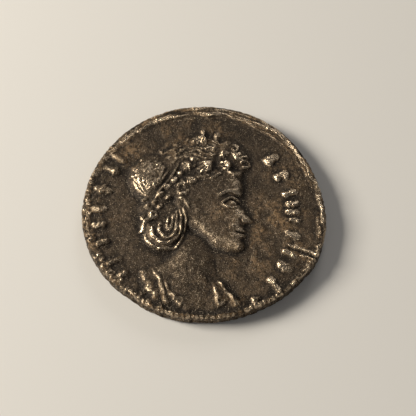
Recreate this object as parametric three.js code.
// A Roman bronze coin, about 26 mm across and 2.5 mm thick, struck on a hammered flan.
// It lies on its reverse, with the portrait up. Millimetres, +Z up, +Y at the top of the head,
// and the origin is under the middle of the flan, on the surface that the coin lies on.
//
// Each side is a height over its flat field, worked out from a few kinds of form: a pillow inside
// an outline, a strand along a curve, a bead and a soft swell. Small triangles go only where that
// height bends.
import * as THREE from 'three';

// Flan: the mean radius, the heights of the two fields, and the slope at the edge
const FLAN_RADIUS = 12.92;
const OBVERSE_FIELD = 1.62;
const REVERSE_FIELD = 0.3;
const EDGE_SLOPE_DROP = 0.3;

// Slow waves in the hammered outline: waves to a turn, amplitude, and phase in degrees
const OUTLINE_WAVES = [
  { count: 1, swell: 0.06, phase: -147 },
  { count: 2, swell: 0.08, phase: -79 },
  { count: 3, swell: 0.12, phase: -94 },
  { count: 4, swell: 0.05, phase: -67 },
  { count: 5, swell: 0.07, phase: -119 },
];
// Corners and nicks in the outline: direction and half width in degrees, and how far it moves out
const OUTLINE_NICKS = [
  { at: 331, half: 6, out: 0.06 },
  { at: 347, half: 9, out: 0.02 },
  { at: 320, half: 6, out: -0.07 },
  { at: 234, half: 6, out: -0.1 },
  { at: 268, half: 5, out: -0.11 },
  { at: 12, half: 8, out: -0.05 },
];

// The dies hit the flan a little off its middle, and the border rings show it
const STRIKE_X = -0.16;
const STRIKE_Y = -0.34;

// Border ring of the obverse: its radius at some bearings. It runs off the flan at the lower right
const RING_PATH = [
  [0, 12.38], [20, 12.2], [90, 12.12], [125, 12.15], [168, 12.25], [200, 12], [215, 12], [250, 12.4],
  [290, 12.45], [335, 12.8], [348, 12.65], [360, 12.38],
];
const RING_WIDTH = 0.7;
const RING_HEIGHT = 0.2;
const RING_BEADS = 144;
const RING_BEAD_DEPTH = 0.5;

// The portrait faces +X. Thirds of the face, from the chin up, set every height in it
const CHIN_Y = -5.2;
const FACE_THIRD = 3.25;
const FACE_FRONT = 4.15;

// Heights of the portrait's main forms over the field
const BUST_HEIGHT = 0.22;
const NECK_SWELL = 0.2;
const FACE_HEIGHT = 0.48;
const HAIR_HEIGHT = 0.44;
const BUN_HEIGHT = 0.6;
const COIL_HEIGHT = 0.36;

// Hair: strands, curls and knobs
const STRAND_WIDTH = 0.4;
const STRAND_RISE = 0.17;
const CURL_RISE = 0.2;
const KNOB_RISE = 0.4;
const BUN_STRANDS = 7;
const CROWN_STRANDS = 7;
const COIL_TURNS = 4;

const FOLD_RISE = 0.2;

// Legend marks: bearing in degrees and distance from the strike centre, length and width
const MARKS = [
  [39.2, 9.6, 0.9, 1.1], [26, 9.45, 0.8, 1.15], [11.6, 9.45, 0.9, 0.85], [3.8, 9.55, 0.8, 0.85],
  [-2.2, 9.5, 0.7, 0.8], [-8.4, 9.75, 0.5, 0.6], [-18.2, 9.85, 1, 0.85], [-31.5, 10.4, 1, 0.85],
  [-39.2, 10.8, 0.9, 1.1], [-50, 11.45, 1.2, 1], [-64.4, 11.9, 0.5, 0.8],
  [145.3, 11.1, 1.1, 0.9], [154, 11, 1.2, 1], [167.1, 10.9, 1.2, 0.95], [180.2, 11, 1.2, 0.9],
  [190, 11.1, 1, 0.85], [201, 11.1, 0.9, 0.8], [213.8, 10.9, 1, 0.8], [223, 11.4, 0.8, 0.8],
];
const MARK_HEIGHT = 0.3;

// Reverse: a standing draped figure between two rows of marks, worn flat on its high points
const REVERSE_RELIEF = 0.34;
const REVERSE_FOLD_DEPTH = 0.13;
const REVERSE_MARKS = 7;
const REVERSE_MARK_SIZE = [9.4, 1.4, 0.9];
const REVERSE_MARK_STEP = 14;

// Meshing: the triangles spent on each side, and the corners and candidates that they choose from
const OBVERSE_TRIANGLES = 7000;
const REVERSE_TRIANGLES = 2500;
const EDGE_CORNERS = 120;
const CANDIDATES = 50000;
// The slope at the edge and the flat land inside it, as fractions of the outline's radius
const SLOPE_START = 0.978;
const LAND_START = 29 / 32;
const LAND_FOOT = 28 / 32;
const RING_CLEARANCE = 0.004;

const CURVE_STEPS = 8;

const radians = THREE.MathUtils.degToRad;
const degreesOf = THREE.MathUtils.radToDeg;
const { lerp, clamp } = THREE.MathUtils;

// The point at a distance and a direction in degrees from a centre
function polar(distance, degrees, centre = [0, 0]) {
  const angle = radians(degrees);
  return [centre[0] + distance * Math.cos(angle), centre[1] + distance * Math.sin(angle)];
}

// A smooth curve through a few points, as short straight steps
function curveThrough(points, closed = false) {
  const knots = points.map(([x, y]) => new THREE.Vector3(x, y, 0));
  const curve = new THREE.CatmullRomCurve3(knots, closed, 'catmullrom');
  return curve.getPoints(CURVE_STEPS * points.length);
}

function distanceToSegment(x, y, a, b) {
  const dx = b.x - a.x;
  const dy = b.y - a.y;
  const along = clamp(((x - a.x) * dx + (y - a.y) * dy) / (dx * dx + dy * dy || 1), 0, 1);
  return { away: Math.hypot(x - a.x - along * dx, y - a.y - along * dy), along };
}

// The distance from a point to a path, and how far along the path the nearest place is, 0 to 1
function nearestOnPath(path, x, y) {
  let best = { away: Infinity, along: 0 };
  for (let i = 0; i + 1 < path.length; i += 1) {
    const { away, along } = distanceToSegment(x, y, path[i], path[i + 1]);
    if (away < best.away) best = { away, along: (i + along) / (path.length - 1) };
  }
  return best;
}

function isInside(path, x, y) {
  let inside = false;
  for (let i = 0, j = path.length - 1; i < path.length; j = i, i += 1) {
    const a = path[i];
    const b = path[j];
    const crosses = a.y > y !== b.y > y;
    if (crosses && x < ((b.x - a.x) * (y - a.y)) / (b.y - a.y) + a.x) inside = !inside;
  }
  return inside;
}

// Limits a form to a box around its path, so that far points cost nothing
function boxed(path, margin, heightAt) {
  const box = new THREE.Box3().setFromPoints(path).expandByScalar(margin);
  return (x, y) => {
    const outside = x < box.min.x || x > box.max.x || y < box.min.y || y > box.max.y;
    return outside ? 0 : heightAt(x, y);
  };
}

// A raised area with a rounded shoulder inside a closed outline
function pillow(points, height, shoulder) {
  const path = curveThrough(points, true);
  return boxed(path, 0, (x, y) => {
    if (!isInside(path, x, y)) return 0;
    const reach = Math.min(1, nearestOnPath(path, x, y).away / shoulder);
    return height * Math.sin((reach * Math.PI) / 2);
  });
}

// A rounded ridge along a curve. The end width differs where endWidth is given
function strand(points, width, height, endWidth = width) {
  const path = curveThrough(points);
  const reach = Math.max(width, endWidth) / 2;
  return boxed(path, reach, (x, y) => {
    const { away, along } = nearestOnPath(path, x, y);
    const share = away / (lerp(width, endWidth, along) / 2);
    return share < 1 ? height * (1 - share * share) : 0;
  });
}

// A round or oval bead
function bead(x0, y0, radiusX, radiusY, height) {
  return (x, y) => {
    const share = ((x - x0) / radiusX) ** 2 + ((y - y0) / radiusY) ** 2;
    return share < 1 ? height * (1 - share) : 0;
  };
}

// A soft swell, or a hollow where the height is negative, that dies out with distance
function swell(x0, y0, radiusX, radiusY, height) {
  return (x, y) => height * Math.exp(-(((x - x0) / radiusX) ** 2) - ((y - y0) / radiusY) ** 2);
}

// A curl of hair: most of a turn of strand round a small eye
function curl(x0, y0, radius, startDegrees) {
  const turn = [];
  for (let step = 0; step <= 6; step += 1) {
    turn.push(polar(radius * lerp(1, 0.7, step / 6), startDegrees + step * 52, [x0, y0]));
  }
  return strand(turn, radius * 0.7, CURL_RISE);
}

// A round lump of hair, with strands that fan out over it from a root on its rim
function knob(x0, y0, radius, lean) {
  const rise = KNOB_RISE * (0.55 + 0.55 * radius);
  const root = polar(0.9 * radius, lean, [x0, y0]);
  const fan = [-54, -18, 18, 54].map((turn) => {
    const tip = polar(0.85 * radius, lean + 180 + turn, [x0, y0]);
    return strand([root, tip], 0.25 * radius, rise, 0.5 * radius);
  });
  return [bead(x0, y0, radius, radius, 0.7 * rise), ...fan];
}

const highest = (forms, x, y) => forms.reduce((top, form) => Math.max(top, form(x, y)), 0);
const deepest = (forms, x, y) => forms.reduce((low, form) => Math.min(low, form(x, y)), 0);
const total = (forms, x, y) => forms.reduce((sum, form) => sum + form(x, y), 0);

// A point of the face: thirds forward of its front plane, and thirds up from the chin
const facePoint = (forward, up) => [FACE_FRONT + forward * FACE_THIRD, CHIN_Y + up * FACE_THIRD];

function face() {
  const outline = [
    [-0.02, 3.1], [0.08, 2.6], [0.1, 2.2], [0.02, 1.92], [0.12, 1.64], [0.25, 1.36], [0.36, 1.15],
    [0.31, 1.03], [0.15, 0.98], [0.1, 0.84], [0.17, 0.74], [0.11, 0.66], [0.15, 0.57], [0.04, 0.42],
    [0.1, 0.2], [-0.02, 0.01], [-0.45, -0.02], [-1, 0.2], [-1.6, 0.75], [-2.25, 1.3], [-2.4, 2.2],
    [-1.4, 3.25],
  ].map(([forward, up]) => facePoint(forward, up));
  const soft = (forward, up, radiusX, radiusY, height) =>
    swell(...facePoint(forward, up), radiusX, radiusY, height);
  const line = (points, width, height) =>
    strand(points.map(([forward, up]) => facePoint(forward, up)), width, height);
  return {
    base: pillow(outline, FACE_HEIGHT, 1.3),
    soft: [
      soft(-0.62, 1.1, 1.7, 1.5, 0.12), // cheek
      soft(-1.2, 0.75, 1.1, 1.2, 0.04), // corner of the jaw
      soft(-0.2, 1.8, 1, 0.7, -0.26), // eye socket
      soft(-0.32, 1.75, 0.5, 0.32, 0.22), // eyeball
      soft(0.12, 1.12, 0.34, 0.36, 0.12), // wing of the nose
      soft(0.02, 0.78, 0.42, 0.28, 0.09), // upper lip
      soft(0, 0.57, 0.42, 0.26, 0.11), // lower lip
      soft(-0.04, 0.2, 0.7, 0.5, 0.12), // chin
      soft(-0.25, 2.55, 1.6, 1.2, 0.06), // forehead
    ],
    raised: [
      line([[0.05, 2.06], [-0.32, 2.2], [-0.8, 2.04]], 0.5, 0.16), // brow
      line([[-0.04, 1.8], [-0.32, 1.94], [-0.7, 1.74]], 0.3, 0.22), // upper lid
      line([[-0.06, 1.67], [-0.34, 1.57], [-0.68, 1.71]], 0.26, 0.15), // lower lid
      bead(...facePoint(-0.27, 1.75), 0.24, 0.24, 0.12), // iris
    ],
    sunk: [
      line([[0.16, 0.665], [-0.05, 0.66], [-0.26, 0.69]], 0.28, -0.18), // mouth
      line([[0, 1.24], [-0.06, 1.1], [0.04, 1.01]], 0.3, -0.1), // behind the nose
      line([[0.1, 0.4], [-0.12, 0.39]], 0.5, -0.08), // under the lower lip
    ],
  };
}

function hair() {
  const cap = [
    [4.5, 4.2], [5.05, 5.3], [5, 6.7], [4.3, 8], [3, 8.9], [1.4, 9.6], [-0.4, 9.75], [-1.9, 9],
    [-3, 8], [-4.3, 7.1], [-6, 6.8], [-7.3, 6.1], [-8.1, 4.9], [-8.2, 3.3], [-7.7, 1.9], [-6.8, 0.8],
    [-6.9, -0.4], [-6, -1.6], [-3.4, -0.6], [-1.6, 0.3], [-1.1, 1.3], [-0.2, 2.1], [1.1, 2.9],
    [2.2, 3.8], [3.4, 4],
  ];
  const bun = [
    [-4.9, 0.8], [-6.5, 0.9], [-7.7, 1.9], [-8.2, 3.3], [-8.1, 4.9], [-7.3, 6.1], [-6, 6.8],
    [-4.5, 6.7], [-3.3, 6], [-2.7, 4.9], [-3.2, 3.4], [-4.1, 1.9],
  ];
  const coil = [
    [-5.6, 0.1], [-6.6, -1.4], [-6.4, -3], [-5.6, -4.4], [-4.2, -5.1], [-2.9, -4.7], [-2, -3.4],
    [-1.7, -1.6], [-1.8, 0.3], [-3.6, 0.9],
  ];
  const knobs = [
    [-1.62, 5.14, 0.62, 60], [-1.17, 6.05, 0.32, 0], [0.4, 5.05, 0.95, 50], [2.55, 5, 0.8, 30],
    [-1.15, 3.36, 0.68, 110], [-0.35, 8.75, 0.75, 70], [1.5, 8.9, 0.5, 140], [-0.1, 9.6, 0.35, 0],
    [2.2, 6.6, 0.6, 130], [3.5, 6.5, 0.5, 40], [0.84, 7.18, 0.5, 30],
  ];
  const curls = [[4.45, 5.5, 0.5, 230], [4.55, 6.2, 0.4, 20], [-2.05, 2.12, 0.6, 60], [3.4, 7.6, 0.4, 150]];
  return {
    bases: [pillow(cap, HAIR_HEIGHT, 2.2), pillow(bun, BUN_HEIGHT, 2.4), pillow(coil, COIL_HEIGHT, 0.9)],
    raised: [
      ...knobs.flatMap((place) => knob(...place)), ...curls.map((place) => curl(...place)),
      ...crownStrands(), ...bunStrands(), ...coilStrands(), ...fillet(), ...locks(),
    ],
    eye: bead(-5.2, -0.85, 0.22, 0.22, -1.4 * CURL_RISE),
  };
}

// Wavy strands run over the crown from the fillet towards the curls above the face
function crownStrands() {
  const strands = [];
  for (let i = 0; i < CROWN_STRANDS; i += 1) {
    const t = i / (CROWN_STRANDS - 1);
    const root = [lerp(-1.1, -2.3, t), lerp(8.8, 5.9, t)];
    const tip = [lerp(3.4, 0.9, t), lerp(8, 6, t)];
    const wave = [0.3, -0.3].map((bow, step) => [
      lerp(root[0], tip[0], (step + 1) / 3),
      lerp(root[1], tip[1], (step + 1) / 3) + bow,
    ]);
    strands.push(strand([root, ...wave, tip], 0.3, STRAND_RISE * 0.6));
  }
  return strands;
}

// The bun fans out like a shell from its root
function bunStrands() {
  const strands = [];
  for (let i = 0; i < BUN_STRANDS; i += 1) {
    const t = i / (BUN_STRANDS - 1);
    const root = [lerp(-5.95, -5.15, t), lerp(1.15, 1.7, t)];
    const middle = [lerp(-7.05, -4.35, t), lerp(2.1, 3.4, t)];
    const tip = [lerp(-7.6, -3.6, t), lerp(3.5, 5, t)];
    strands.push(strand([root, middle, tip], 0.24, STRAND_RISE * lerp(1.1, 1.6, t), 0.42));
  }
  return strands;
}

// The coil at the nape is a set of long loops, one inside the other, from a twist at the upper left
function coilStrands() {
  const strands = [];
  for (let i = 0; i < COIL_TURNS; i += 1) {
    const t = i / (COIL_TURNS - 1);
    const centre = [lerp(-3.4, -4, t), lerp(-1.6, -2.2, t)];
    const loop = [];
    for (let step = 0; step <= 8; step += 1) {
      const [x, y] = polar(1, lerp(lerp(170, 198, t), 405, step / 8));
      loop.push([centre[0] + x * lerp(0.3, 2.3, t), centre[1] + y * lerp(1, 2.85, t)]);
    }
    strands.push(strand(loop, lerp(0.3, 0.44, t), STRAND_RISE * 1.15, 0.2));
  }
  return [
    ...strands,
    strand([[-6.4, -2.6], [-6.2, -1.9], [-5.5, -1.45]], 0.55, CURL_RISE * 1.3),
    strand([[-6.55, -1.6], [-6.6, -1.1], [-6.2, -0.7]], 0.4, CURL_RISE),
    bead(-5.2, -0.85, 0.55, 0.6, CURL_RISE * 1.5),
  ];
}

// A narrow fillet crosses the head from the crown to the nape, with a row of knots in front of it
function fillet() {
  const knots = [
    [-2.4, 4.2, 0.42], [-3, 3.3, 0.45], [-3.7, 2.35, 0.42], [-4.45, 1.6, 0.42], [-3.75, 1.2, 0.4],
    [-5.2, 0.65, 0.36], [-5.9, 0.1, 0.3], [-4.4, 0.25, 0.36], [-6.3, 0.9, 0.3],
  ];
  return [
    strand([[-2.5, 5.6], [-3.05, 4.4], [-3.9, 2.8], [-5.24, 0.9]], 0.26, STRAND_RISE * 1.2),
    ...knots.map(([x, y, radius]) => bead(x, y, radius, radius, CURL_RISE * 1.2)),
  ];
}

// Loose locks over the temple and behind it
function locks() {
  const rows = [
    [[0.55, 3.4], [1.4, 3.75], [2.05, 4.2]],
    [[2.6, 4.4], [3.1, 4.15], [3.7, 3.9]],
    [[-2.75, 1.15], [-2.1, 0.75], [-1.3, 0.2]],
    [[-2.3, 3.3], [-2, 2.9], [-1.7, 2.75]],
    [[-0.6, 3.9], [0.1, 3.8], [0.7, 4]],
    [[-4, 6.72], [-3.7, 7.05], [-3.3, 7.1]],
    [[3.3, 8.1], [3.6, 7.8], [4, 7.7]],
    [[-0.8, 7.2], [-0.4, 7.45], [0, 7.2]],
  ];
  return rows.map((row) => strand(row, STRAND_WIDTH * 0.9, STRAND_RISE));
}

function bust() {
  const outline = [
    [-2.7, -3.4], [-3.2, -5.2], [-4.3, -6.3], [-5.7, -6.8], [-6.6, -7.8], [-6.5, -9.1], [-5.5, -10.3],
    [-4, -11.1], [-2.2, -11.6], [0, -11.75], [2, -11.6], [3.8, -11], [3.4, -9.9], [2.2, -8.7],
    [1.5, -7.6], [1.25, -6.2], [1.5, -4.6], [-0.5, -3],
  ];
  const folds = [
    [[[-5.48, -6.7], [-4.67, -7.65], [-4.3, -8.86], [-3.83, -10.22], [-3.5, -11.23]], 0.24, 0.9],
    [[[-3.9, -8.6], [-3.22, -9.71], [-2.43, -10.56], [-1.34, -11.56]], 0.24, 0.8],
    [[[-6.2, -7.4], [-5.55, -8.9], [-5, -10.05], [-4.55, -11.2]], 0.5, 0.7],
    [[[1.3, -8.35], [2.53, -9.71], [3.6, -11.05]], 0.26, 0.5],
    [[[1.05, -8.9], [1.35, -9.9], [1.85, -11.3]], 0.3, 1],
  ].map(([row, width, endWidth]) => strand(row, width, FOLD_RISE, endWidth));
  const lumps = [
    [-6.1, -7.6, 0.45], [-5.5, -8.95, 0.5], [-5, -10.05, 0.5], [-5.5, -10.8, 0.55], [-4.5, -11.1, 0.5],
    [-6.1, -9.7, 0.4], [-3.7, -10.6, 0.4], [1.8, -10.8, 0.5], [3.3, -10.8, 0.35],
  ].map(([x, y, radius]) => bead(x, y, radius, radius, FOLD_RISE * 1.2));
  return {
    base: pillow(outline, BUST_HEIGHT, 1.4),
    soft: [
      swell(-1.6, -7, 1.8, 3, NECK_SWELL),
      swell(0.9, -5.1, 1.5, 0.9, -0.1), // shadow under the jaw
      swell(0.5, -9, 0.9, 1.8, -0.1), // hollow beside the front fold
    ],
    raised: [...folds, ...lumps],
  };
}

// A worn legend mark: a short wedge that points to the middle, with a round head at its inner end
function legendMark(degrees, radius, length, width) {
  const inner = polar(radius - length / 2, degrees);
  const outer = polar(radius + length / 2, degrees);
  return [
    strand([inner, outer], width * 0.7, 0.8 * MARK_HEIGHT, width),
    bead(...inner, width * 0.4, width * 0.4, MARK_HEIGHT),
  ];
}

function ringRadius(degrees) {
  const bearing = THREE.MathUtils.euclideanModulo(degrees, 360);
  const next = RING_PATH.findIndex(([at]) => at > bearing);
  const [low, from] = RING_PATH[next - 1];
  const [high, to] = RING_PATH[next];
  return lerp(from, to, (bearing - low) / (high - low));
}

function borderRing(x, y) {
  const turned = Math.atan2(y, x);
  const away = Math.abs(Math.hypot(x, y) - ringRadius(degreesOf(turned))) / (RING_WIDTH / 2);
  if (away >= 1) return 0;
  const bump = 0.5 + 0.5 * Math.cos(RING_BEADS * turned);
  return RING_HEIGHT * (1 - away * away) * (1 - RING_BEAD_DEPTH * (1 - bump));
}

function obverseRelief() {
  const head = face();
  const hairForms = hair();
  const chest = bust();
  const marks = MARKS.flatMap((mark) => legendMark(...mark));
  const crease = [
    strand([[8.9, -4.15], [10.3, -4.75], [12.1, -5.4]], 0.4, 0.14),
    strand([[9, -4.6], [10.3, -5.15], [11.9, -5.8]], 0.4, -0.16),
    strand([[10.1, -5.4], [10.9, -5.7], [11.7, -6.1]], 0.3, 0.1),
  ];
  return (x, y) => {
    let skin = head.base(x, y);
    if (skin > 0) {
      const fade = Math.min(1, (2 * skin) / FACE_HEIGHT);
      skin += fade * (total(head.soft, x, y) + highest(head.raised, x, y) + deepest(head.sunk, x, y));
    }
    const chestHeight = chest.base(x, y);
    const fadeIn = Math.min(1, (2 * chestHeight) / BUST_HEIGHT);
    const neck = chestHeight + fadeIn * total(chest.soft, x, y);
    const topFade = THREE.MathUtils.smoothstep(y - 0.2 * x, 5.2, 9.4);
    const cover = highest(hairForms.bases, x, y) * (1 - 0.5 * topFade);
    const strands = highest(hairForms.raised, x, y) * (1 - 0.15 * topFade) + hairForms.eye(x, y);
    const body = Math.max(skin, neck, cover) + Math.max(strands, highest(chest.raised, x, y));
    return Math.max(body, borderRing(x, y), highest(marks, x, y)) + total(crease, x, y);
  };
}

// The reverse is drawn as it is seen from below, with its own +Y to the top of the figure
function reverseRelief() {
  const robe = [
    [-0.5, 5.9], [-1.5, 5.2], [-1.4, 3.6], [-1, 1.9], [-1.5, 0], [-1.9, -3], [-2.2, -6.8], [0, -7.2],
    [2.2, -6.8], [1.9, -3], [1.6, 0], [1.1, 1.9], [1.5, 3.6], [1.6, 5.2], [0.6, 5.9],
  ];
  const altar = [[-5.5, -7.1], [-5.2, -4.9], [-5.6, -4.2], [-3.8, -4.2], [-4.2, -4.9], [-3.9, -7.1]];
  const forms = [
    pillow(robe, REVERSE_RELIEF, 0.8),
    bead(0, 7, 0.85, 1.1, REVERSE_RELIEF * 1.2), // head
    strand([[-1.2, 4.9], [-2.4, 2.9], [-4, 2.9]], 1, REVERSE_RELIEF, 0.6), // arm with the dish
    bead(-4.6, 3.1, 0.85, 0.45, REVERSE_RELIEF), // dish
    strand([[1.3, 4.9], [2.9, 3.3], [3.7, 4.6]], 1, REVERSE_RELIEF, 0.6), // arm with the staff
    strand([[3.9, -7.2], [3.8, 0], [3.9, 8.2]], 0.45, REVERSE_RELIEF), // staff
    bead(3.9, 8.3, 0.45, 0.45, REVERSE_RELIEF), // knob of the staff
    pillow(altar, REVERSE_RELIEF, 0.6),
    strand([[-6.3, -7.9], [0, -8.1], [6.3, -7.9]], 0.5, REVERSE_RELIEF), // ground line
  ];
  const folds = [
    [[-1.3, 4.4], [0, 2.6], [1.3, 1.2]],
    [[-1.1, 2.6], [0.2, 0.9], [1.5, -0.6]],
    [[-1, 0.4], [-1.3, -3], [-1.5, -6.6]],
    [[-0.2, -0.2], [-0.4, -3.2], [-0.5, -6.8]],
    [[0.8, -1], [0.6, -3.6], [0.6, -6.8]],
    [[1.6, -2.4], [1.6, -4.2], [1.7, -6.4]],
  ].map((fold) => strand(fold, 0.45, -REVERSE_FOLD_DEPTH));
  const marks = [];
  for (let step = 0; step < REVERSE_MARKS; step += 1) {
    const rise = step * REVERSE_MARK_STEP - 30;
    marks.push(...legendMark(rise, ...REVERSE_MARK_SIZE));
    marks.push(...legendMark(180 - rise, ...REVERSE_MARK_SIZE));
  }
  return (x, y) => highest([...forms, ...marks], x, y) + deepest(folds, x, y);
}

function flanRadius(angle) {
  let radius = FLAN_RADIUS;
  for (const { count, swell: amplitude, phase } of OUTLINE_WAVES) {
    radius += amplitude * Math.cos(count * angle - radians(phase));
  }
  for (const { at, half, out } of OUTLINE_NICKS) {
    const turned = angle - radians(at);
    const away = Math.atan2(Math.sin(turned), Math.cos(turned)) / radians(half);
    radius += out * Math.exp(-away * away);
  }
  return radius;
}

// How far a value has gone from start to end, 0 to 1
const progress = (value, start, end) => clamp((value - start) / (end - start), 0, 1);

// The height of the obverse at a place. ring is 0 at the middle of the flan and 1 at its edge
function obverseSurface() {
  const relief = obverseRelief();
  return (x, y, ring) => {
    const sloped = progress(ring, SLOPE_START, 1);
    return OBVERSE_FIELD + relief(x - STRIKE_X, y - STRIKE_Y) * (1 - sloped) - EDGE_SLOPE_DROP * sloped;
  };
}

// The reverse rests on a flat land near its edge and on its worn high points, all at height 0
function reverseSurface() {
  const relief = reverseRelief();
  return (x, y, ring) => {
    const field = REVERSE_FIELD * (1 - progress(ring, LAND_FOOT, LAND_START));
    const worn = Math.max(0, field - relief(x - STRIKE_X, STRIKE_Y - y));
    return worn + EDGE_SLOPE_DROP * progress(ring, SLOPE_START, 1);
  };
}

// A mesh corner: its place on a disc of radius 1, and its true place on the flan
function cornerAt(ring, angle, surface) {
  const radius = ring * flanRadius(angle);
  const x = radius * Math.cos(angle);
  const y = radius * Math.sin(angle);
  const place = new THREE.Vector3(x, y, surface(x, y, ring));
  return { u: ring * Math.cos(angle), v: ring * Math.sin(angle), place };
}

// Corners at even steps round a ring of the flan
function ringOfCorners(ring, count, surface) {
  return Array.from({ length: count }, (_, i) => cornerAt(ring, (2 * Math.PI * i) / count, surface));
}

// The border ring of the obverse, which is round about the strike: corners on each bead and in
// each gap between beads, and on both feet of the ring at every other gap
function borderCorners(surface) {
  const corners = [];
  for (let i = 0; i < 2 * RING_BEADS; i += 1) {
    const angle = (Math.PI * i) / RING_BEADS;
    const rows = i % 4 === 1 ? [-0.5, 0, 0.5] : [0];
    for (const row of rows) {
      const radius = ringRadius(degreesOf(angle)) + row * RING_WIDTH;
      const x = STRIKE_X + radius * Math.cos(angle);
      const y = STRIKE_Y + radius * Math.sin(angle);
      const turned = Math.atan2(y, x);
      corners.push(cornerAt(Math.hypot(x, y) / flanRadius(turned), turned, surface));
    }
  }
  return corners.filter(({ u, v }) => Math.hypot(u, v) < SLOPE_START - RING_CLEARANCE);
}

// Candidate corners spread evenly over the disc, like the seeds of a sunflower
function candidates(surface) {
  const goldenTurn = Math.PI * (3 - Math.sqrt(5));
  const corners = [];
  for (let i = 0; i < CANDIDATES; i += 1) {
    corners.push(cornerAt(SLOPE_START * Math.sqrt((i + 0.5) / CANDIDATES), i * goldenTurn, surface));
  }
  return corners;
}

const doubleArea = (a, b, c) => (b.u - a.u) * (c.v - a.v) - (b.v - a.v) * (c.u - a.u);

// Is a point inside the circle through the corners of a triangle
function inCircle([a, b, c], p) {
  const rows = [a, b, c].map((corner) => {
    const du = corner.u - p.u;
    const dv = corner.v - p.v;
    return [du, dv, du * du + dv * dv];
  });
  return new THREE.Matrix3().set(...rows.flat()).determinant() > 1e-14;
}

// How far inside a triangle a point is: below 0 where it is outside
function insideBy([a, b, c], p) {
  return Math.min(doubleArea(a, b, p), doubleArea(b, c, p), doubleArea(c, a, p)) / doubleArea(a, b, c);
}

// How far the flat triangle is from the true surface at a point, in height
function heightError([a, b, c], p) {
  const whole = doubleArea(a, b, c);
  const flat = (doubleArea(b, c, p) * a.place.z + doubleArea(c, a, p) * b.place.z
    + doubleArea(a, b, p) * c.place.z) / whole;
  return Math.abs(flat - p.place.z);
}

// A triangle holds the candidates that lie in it, and knows the one that it misses by most
function makeTriangle(corners) {
  return { corners, neighbours: [null, null, null], waiting: [], worst: null, error: 0 };
}

function handOver(points, triangles) {
  for (const point of points) {
    let home = triangles[0];
    for (const triangle of triangles) {
      if (insideBy(triangle.corners, point) > insideBy(home.corners, point)) home = triangle;
    }
    home.waiting.push(point);
    const error = point.fixed ? Infinity : heightError(home.corners, point);
    if (error > home.error) Object.assign(home, { worst: point, error });
  }
}

// Puts a point into the mesh: the triangles whose circles hold it make way for a fan about it
function insertPoint(mesh, start, point) {
  const removed = new Set([start]);
  const rim = [];
  for (const triangle of removed) {
    triangle.neighbours.forEach((neighbour, side) => {
      if (removed.has(neighbour)) return;
      if (neighbour && inCircle(neighbour.corners, point)) removed.add(neighbour);
      else rim.push({ triangle, side, neighbour });
    });
  }
  const outer = rim.filter(({ neighbour }) => !removed.has(neighbour));
  const fan = outer.map(({ triangle, side, neighbour }) => {
    const fresh = makeTriangle([triangle.corners[side], triangle.corners[(side + 1) % 3], point]);
    fresh.neighbours[0] = neighbour;
    if (neighbour) neighbour.neighbours[neighbour.neighbours.indexOf(triangle)] = fresh;
    return fresh;
  });
  for (const fresh of fan) {
    fresh.neighbours[1] = fan.find((other) => other.corners[0] === fresh.corners[1]);
    fresh.neighbours[2] = fan.find((other) => other.corners[1] === fresh.corners[0]);
  }
  const moved = [...removed].flatMap(({ waiting }) => waiting).filter((other) => other !== point);
  handOver(moved, fan);
  for (const triangle of removed) mesh.delete(triangle);
  for (const fresh of fan) mesh.add(fresh);
}

// Meshes one side: it starts from the fixed corners, then adds the candidate that the mesh misses
// by most, until the triangles are used up
function meshSide(surface, rings, budget) {
  const edge = ringOfCorners(1, EDGE_CORNERS, surface);
  const middle = cornerAt(0, 0, surface);
  const fan = edge.map((corner, i) => makeTriangle([middle, corner, edge[(i + 1) % edge.length]]));
  fan.forEach((triangle, i) => {
    triangle.neighbours = [fan.at(i - 1), null, fan[(i + 1) % fan.length]];
  });
  handOver([...rings.map((corner) => ({ ...corner, fixed: true })), ...candidates(surface)], fan);
  const mesh = new Set(fan);
  while (mesh.size < budget) {
    let worst = fan[0];
    for (const triangle of mesh) {
      if (triangle.error > worst.error || !mesh.has(worst)) worst = triangle;
    }
    insertPoint(mesh, worst, worst.worst);
  }
  return { edge, triangles: [...mesh].map(({ corners }) => corners) };
}

function coinGeometry() {
  const obverse = obverseSurface();
  const reverse = reverseSurface();
  const slopeRing = (surface) => ringOfCorners(SLOPE_START, EDGE_CORNERS, surface);
  const top = meshSide(obverse, [...slopeRing(obverse), ...borderCorners(obverse)], OBVERSE_TRIANGLES);
  const landRings = [
    ...slopeRing(reverse),
    ...ringOfCorners(LAND_START, EDGE_CORNERS, reverse),
    ...ringOfCorners(LAND_FOOT, EDGE_CORNERS, reverse),
  ];
  const bottom = meshSide(reverse, landRings, REVERSE_TRIANGLES);

  const corners = [...top.triangles.flat(), ...bottom.triangles.flatMap(([a, b, c]) => [a, c, b])];
  for (let i = 0; i < EDGE_CORNERS; i += 1) {
    const next = (i + 1) % EDGE_CORNERS;
    corners.push(top.edge[i], bottom.edge[i], bottom.edge[next]);
    corners.push(top.edge[i], bottom.edge[next], top.edge[next]);
  }
  const numbers = new Map([...new Set(corners)].map((corner, i) => [corner, i]));
  const geometry = new THREE.BufferGeometry();
  geometry.setFromPoints([...numbers.keys()].map(({ place }) => place));
  geometry.setIndex(corners.map((corner) => numbers.get(corner)));
  geometry.computeBoundingBox();
  const middle = geometry.boundingBox.getCenter(new THREE.Vector3());
  geometry.translate(-middle.x, -middle.y, -geometry.boundingBox.min.z);
  geometry.computeVertexNormals();
  return geometry;
}

const bronze = new THREE.MeshStandardMaterial({ color: 0x4a3e31, roughness: 0.5, metalness: 0.8 });
const coin = new THREE.Mesh(coinGeometry(), bronze);
coin.name = 'coin';

const group = new THREE.Group();
group.add(coin);

export default group;
